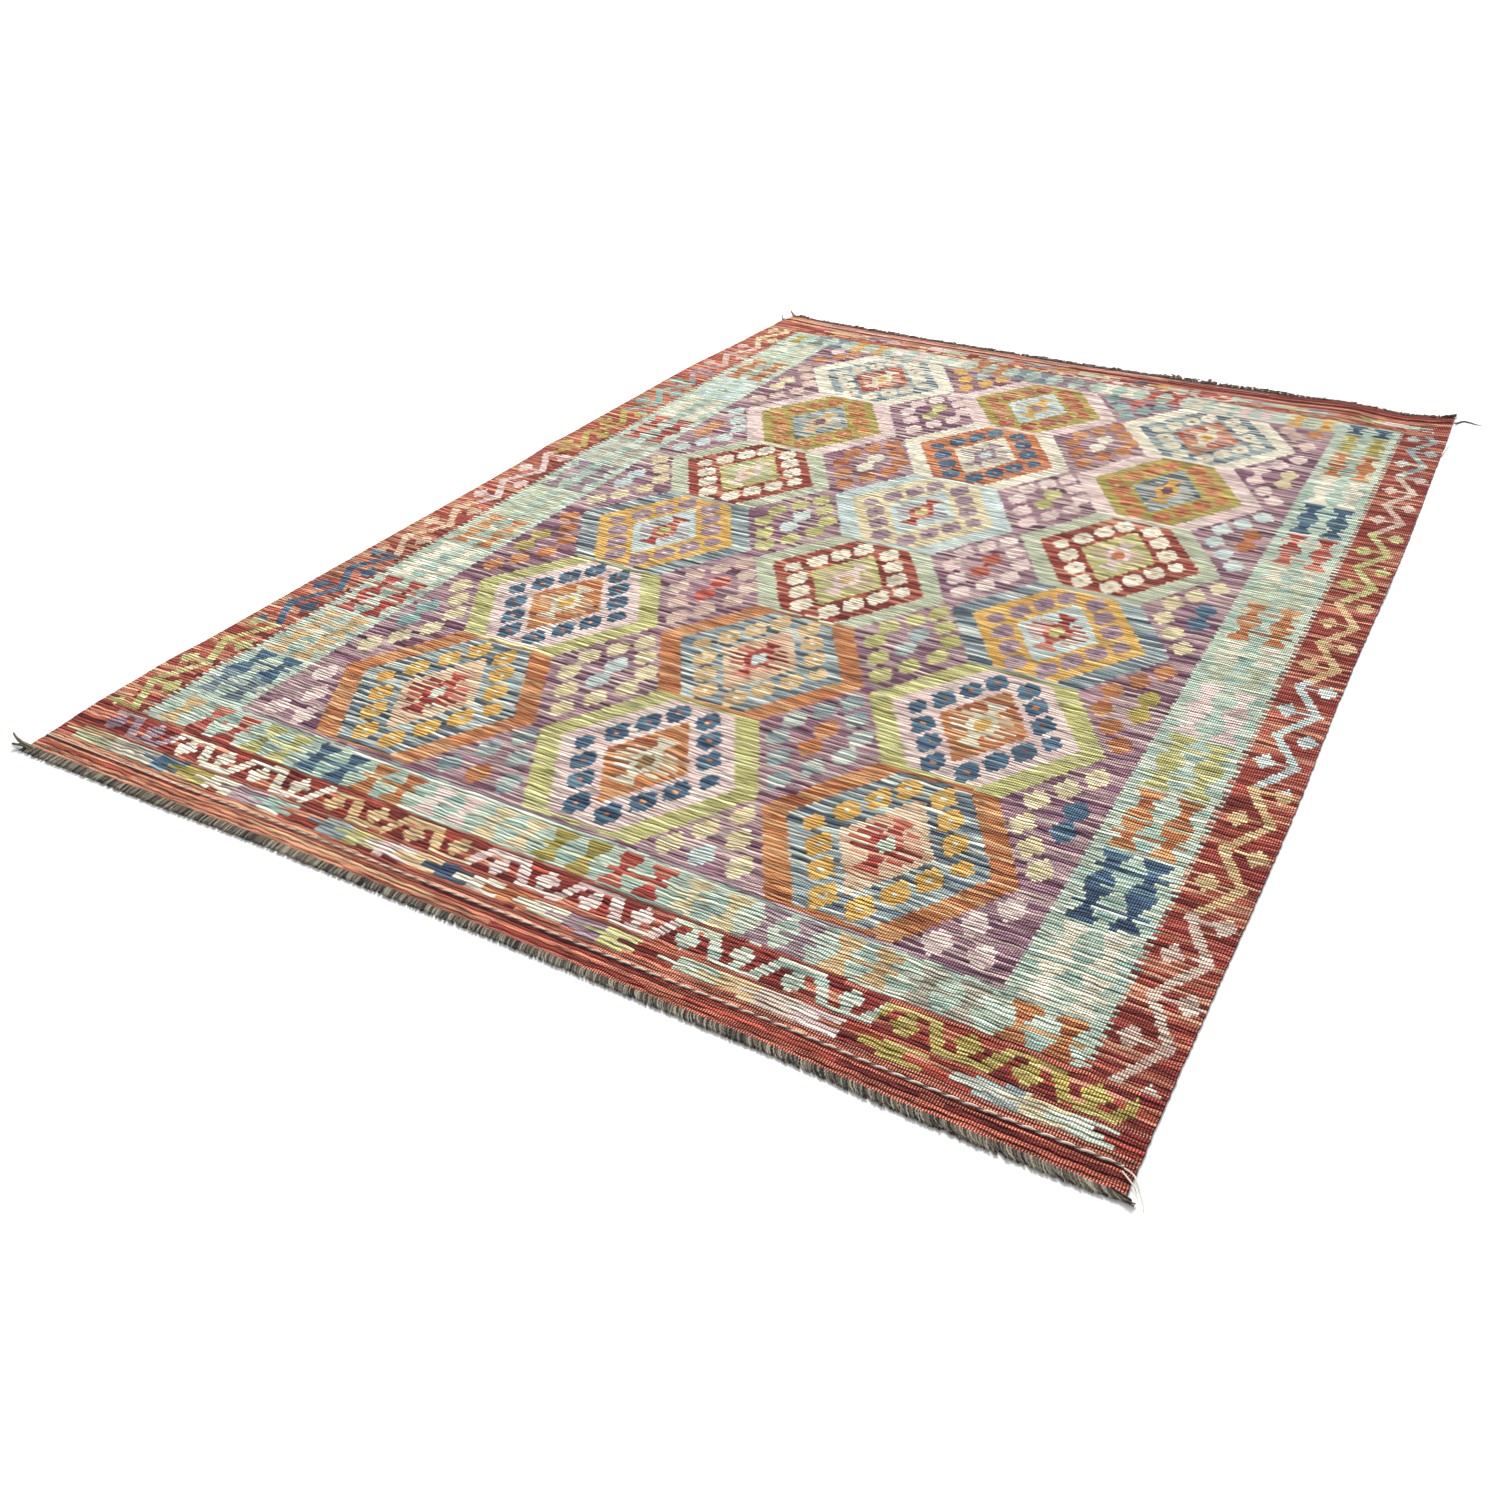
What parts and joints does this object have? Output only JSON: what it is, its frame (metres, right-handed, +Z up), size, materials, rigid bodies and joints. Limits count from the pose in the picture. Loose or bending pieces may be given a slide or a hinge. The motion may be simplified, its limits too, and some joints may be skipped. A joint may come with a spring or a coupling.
{
  "type": "kilim rug",
  "caption": "Hand-woven wool rug with hexagon medallions, lying flat with soft ripples, a cut fringe and a twined cord at each end.",
  "frame": {"origin": "on the floor, under the middle of the rug", "axes": "+X across the rug along its weft yarns, +Y along the rug from the near fringe to the far one, +Z up from the floor"},
  "size_m": [2.1735, 3.0168, 0.015],
  "materials": {
    "kilim_weave": "matt hand-spun wool weft over ribbed warps, streaked dyes in brick, gold, steel blue, mint, sand and mauve",
    "fringe_wool": "undyed grey-brown twisted wool, matt and slightly fuzzy",
    "pale_yarn": "thick cream wool yarn, matt",
    "dark_yarn": "thick charcoal and dark red wool yarn, matt"
  },
  "bodies": {
    "root": {"kilim_cloth": "kilim_weave", "fringe_near": "fringe_wool", "fringe_far": "fringe_wool", "twine_near": "pale_yarn", "yarn_end_near": "pale_yarn", "yarn_end_side": "pale_yarn", "twine_far": "dark_yarn"}
  },
  "joints": []
}
